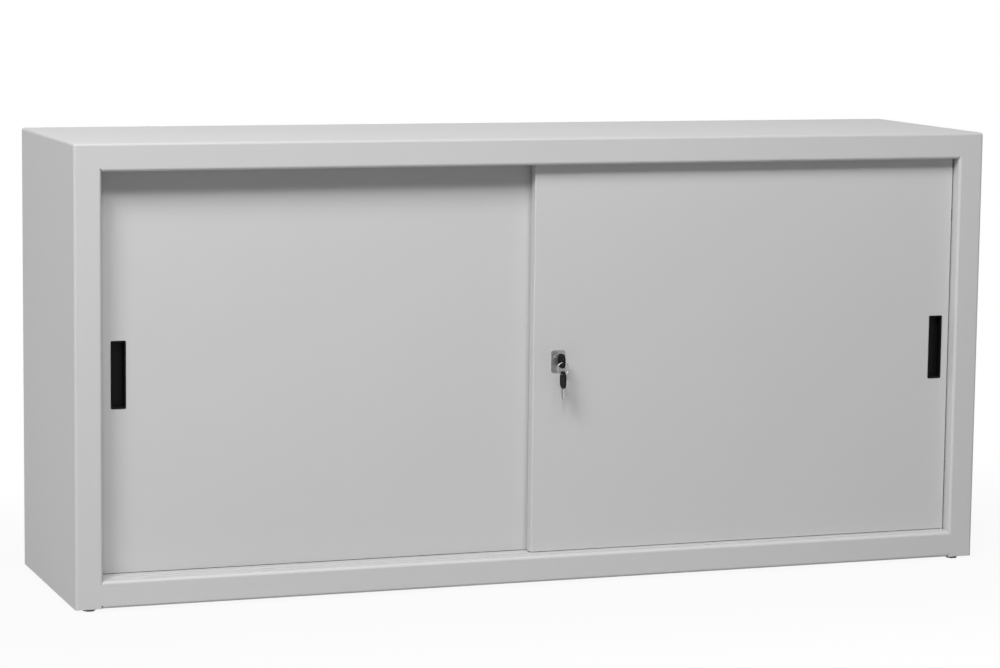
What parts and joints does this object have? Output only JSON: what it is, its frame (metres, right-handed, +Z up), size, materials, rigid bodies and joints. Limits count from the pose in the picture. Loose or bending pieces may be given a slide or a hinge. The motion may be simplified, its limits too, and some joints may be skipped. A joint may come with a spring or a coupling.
{
  "type": "sliding door cabinet",
  "caption": "Low steel storage cabinet with overlapping sliding doors on rollers, recessed finger pulls, a key lock, adjustable shelves, a centre partition and levelling feet.",
  "frame": {"origin": "middle of the cabinet's footprint, on the floor under its feet", "axes": "+X to the right along the doors, +Y from the doors to the back, +Z up"},
  "size_m": [1.6, 0.4179, 0.75],
  "materials": {
    "grey_paint": "semi-gloss light grey powder coat",
    "zinc_plate": "bright zinc plate",
    "axle_steel": "turned steel",
    "key_steel": "nickel-plated",
    "lock_chrome": "satin chrome plate",
    "black_plastic": "fine-grained moulding",
    "foot_plastic": "grey moulding",
    "pale_nylon": "moulded nylon",
    "buffer_rubber": "soft grey rubber"
  },
  "bodies": {
    "carcass": {"left_side_panel": "grey_paint", "right_side_panel": "grey_paint", "top_panel": "grey_paint", "bottom_panel": "grey_paint", "back_panel": "grey_paint", "centre_divider": "grey_paint", "top_guide_track": "zinc_plate", "bottom_rail": "grey_paint", "door_buffers": "buffer_rubber", "left_wall_uprights": "grey_paint", "divider_left_uprights": "grey_paint", "divider_right_uprights": "grey_paint", "right_wall_uprights": "grey_paint", "left_shelf": "grey_paint", "right_shelf": "grey_paint", "left_shelf_clips": "zinc_plate", "right_shelf_clips": "zinc_plate", "foot_plates": "grey_paint"},
    "left_door": {"left_door_panel": "grey_paint", "left_door_stiffener": "grey_paint", "left_door_pull": "black_plastic", "left_door_roller_brackets": "zinc_plate", "left_door_axles": "axle_steel", "left_door_guides": "pale_nylon"},
    "right_door": {"right_door_panel": "grey_paint", "right_door_stiffener": "grey_paint", "right_door_pull": "black_plastic", "right_door_roller_brackets": "zinc_plate", "right_door_axles": "axle_steel", "right_door_guides": "pale_nylon", "lock_escutcheon": "lock_chrome", "lock_housing": "zinc_plate"},
    "left_roller_a": {"left_door_roller_a": "pale_nylon"},
    "left_roller_b": {"left_door_roller_b": "pale_nylon"},
    "right_roller_a": {"right_door_roller_a": "pale_nylon"},
    "right_roller_b": {"right_door_roller_b": "pale_nylon"},
    "lock_plug": {"lock_plug": "lock_chrome"},
    "lock_bolt": {"lock_bolt": "axle_steel"},
    "key": {"key_blade": "key_steel", "key_bow": "black_plastic"},
    "key_ring": {"key_ring": "key_steel"},
    "spare_key": {"spare_key_blade": "key_steel", "spare_key_bow": "black_plastic"},
    "front_left_foot": {"front_left_foot_pad": "foot_plastic", "front_left_foot_stud": "axle_steel"},
    "front_right_foot": {"front_right_foot_pad": "foot_plastic", "front_right_foot_stud": "axle_steel"},
    "rear_left_foot": {"rear_left_foot_pad": "foot_plastic", "rear_left_foot_stud": "axle_steel"},
    "rear_right_foot": {"rear_right_foot_pad": "foot_plastic", "rear_right_foot_stud": "axle_steel"}
  },
  "joints": [
    {"name": "left_door_slide", "type": "slide", "parent": "carcass", "child": "left_door", "axis": [1, 0, 0], "range_m": [0, 0.733]},
    {"name": "right_door_slide", "type": "slide", "parent": "carcass", "child": "right_door", "axis": [-1, 0, 0], "range_m": [0, 0.733]},
    {"name": "left_roller_a_spin", "type": "hinge", "parent": "left_door", "child": "left_roller_a", "pos_m": [-0.663, -0.147, 0.0633], "axis": [0, 1, 0], "continuous": true},
    {"name": "left_roller_b_spin", "type": "hinge", "parent": "left_door", "child": "left_roller_b", "pos_m": [-0.07, -0.147, 0.0633], "axis": [0, 1, 0], "continuous": true},
    {"name": "right_roller_a_spin", "type": "hinge", "parent": "right_door", "child": "right_roller_a", "pos_m": [0.07, -0.171, 0.0633], "axis": [0, 1, 0], "continuous": true},
    {"name": "right_roller_b_spin", "type": "hinge", "parent": "right_door", "child": "right_roller_b", "pos_m": [0.663, -0.171, 0.0633], "axis": [0, 1, 0], "continuous": true},
    {"name": "lock_turn", "type": "hinge", "parent": "right_door", "child": "lock_plug", "pos_m": [0.024, -0.172, 0.378], "axis": [0, 1, 0], "range_deg": [-90, 0]},
    {"name": "bolt_throw", "type": "slide", "parent": "right_door", "child": "lock_bolt", "axis": [0, 1, 0], "range_m": [0, 0.01]},
    {"name": "key_withdraw", "type": "slide", "parent": "lock_plug", "child": "key", "axis": [0, -1, 0], "range_m": [0, 0.022]},
    {"name": "ring_swing", "type": "hinge", "parent": "key", "child": "key_ring", "pos_m": [0.024, -0.2059, 0.37655], "axis": [1, 0, 0], "range_deg": [-30, 12]},
    {"name": "spare_key_swing", "type": "hinge", "parent": "key_ring", "child": "spare_key", "pos_m": [0.024, -0.2059, 0.35615], "axis": [1, 0, 0], "range_deg": [-30, 8]},
    {"name": "front_left_foot_turn", "type": "hinge", "parent": "carcass", "child": "front_left_foot", "pos_m": [-0.773, -0.178, 0], "axis": [0, 0, 1], "continuous": true},
    {"name": "front_right_foot_turn", "type": "hinge", "parent": "carcass", "child": "front_right_foot", "pos_m": [0.773, -0.178, 0], "axis": [0, 0, 1], "continuous": true},
    {"name": "rear_left_foot_turn", "type": "hinge", "parent": "carcass", "child": "rear_left_foot", "pos_m": [-0.773, 0.168, 0], "axis": [0, 0, 1], "continuous": true},
    {"name": "rear_right_foot_turn", "type": "hinge", "parent": "carcass", "child": "rear_right_foot", "pos_m": [0.773, 0.168, 0], "axis": [0, 0, 1], "continuous": true}
  ],
  "couplings": [
    {"joint": "left_roller_a_spin", "follows": "left_door_slide", "rad_per_m": 83.333},
    {"joint": "left_roller_b_spin", "follows": "left_door_slide", "rad_per_m": 83.333},
    {"joint": "right_roller_a_spin", "follows": "right_door_slide", "rad_per_m": -83.333},
    {"joint": "right_roller_b_spin", "follows": "right_door_slide", "rad_per_m": -83.333},
    {"joint": "bolt_throw", "follows": "lock_turn", "m_per_rad": -0.0063662}
  ]
}
